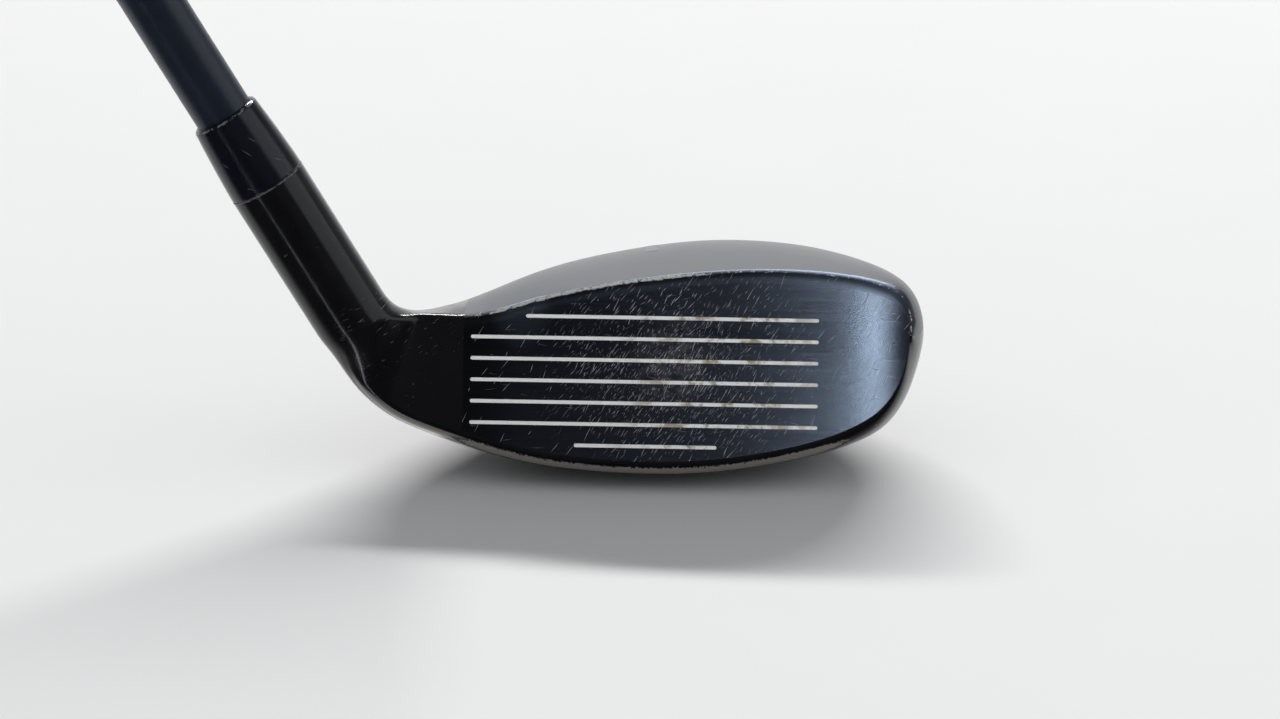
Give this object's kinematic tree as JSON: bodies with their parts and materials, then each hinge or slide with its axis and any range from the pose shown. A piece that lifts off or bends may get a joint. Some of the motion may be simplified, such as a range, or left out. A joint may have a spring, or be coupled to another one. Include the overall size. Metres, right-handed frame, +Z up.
{
  "type": "hybrid golf club",
  "caption": "Left-handed hybrid golf club with a black hollow steel head, painted crown, white scoring lines, ferrule, dark shaft, rubber grip and a rear weight screw.",
  "frame": {"origin": "point on the sole that rests on the ground, under the middle of the face", "axes": "+X towards the toe, the face looks to -Y, +Z up; the shaft leans towards -X at the lie angle"},
  "size_m": [0.6002, 0.0625, 0.868],
  "materials": {
    "body_steel": "gloss black plated",
    "face_steel": "brushed black",
    "crown_steel": "satin",
    "white_paint": "matte",
    "grey_paint": "satin",
    "badge_aluminium": "satin",
    "adhesive": "matte",
    "tungsten": "satin",
    "seal_rubber": "matte",
    "ferrule_plastic": "gloss",
    "shaft_composite": "satin gloss",
    "cork": "matte",
    "tape": "matte",
    "grip_rubber": "matte"
  },
  "bodies": {
    "club": {"head_body": "body_steel", "face_plate": "face_steel", "crown_plate": "crown_steel", "score_line_paint": "white_paint", "alignment_mark": "grey_paint", "sole_badge": "badge_aluminium", "badge_adhesive": "adhesive", "hot_melt": "adhesive", "hosel_stop": "ferrule_plastic", "hosel_epoxy": "adhesive", "ferrule": "ferrule_plastic", "shaft": "shaft_composite", "tip_plug": "cork", "grip_tape": "tape", "grip_sleeve": "grip_rubber", "grip_cap": "grip_rubber"},
    "seal": {"weight_seal": "seal_rubber"},
    "screw": {"weight_screw": "tungsten"}
  },
  "joints": [
    {"name": "weight_lift", "type": "slide", "parent": "club", "child": "seal", "axis": [0, 0.682, -0.7314], "range_m": [0, 0.007]},
    {"name": "weight_turn", "type": "hinge", "parent": "seal", "child": "screw", "pos_m": [0.002, 0.03401, 0.01236], "axis": [0, 0.682, -0.7314], "range_deg": [0, 2521]}
  ],
  "couplings": [
    {"joint": "weight_turn", "follows": "weight_lift", "rad_per_m": 6283.2}
  ]
}
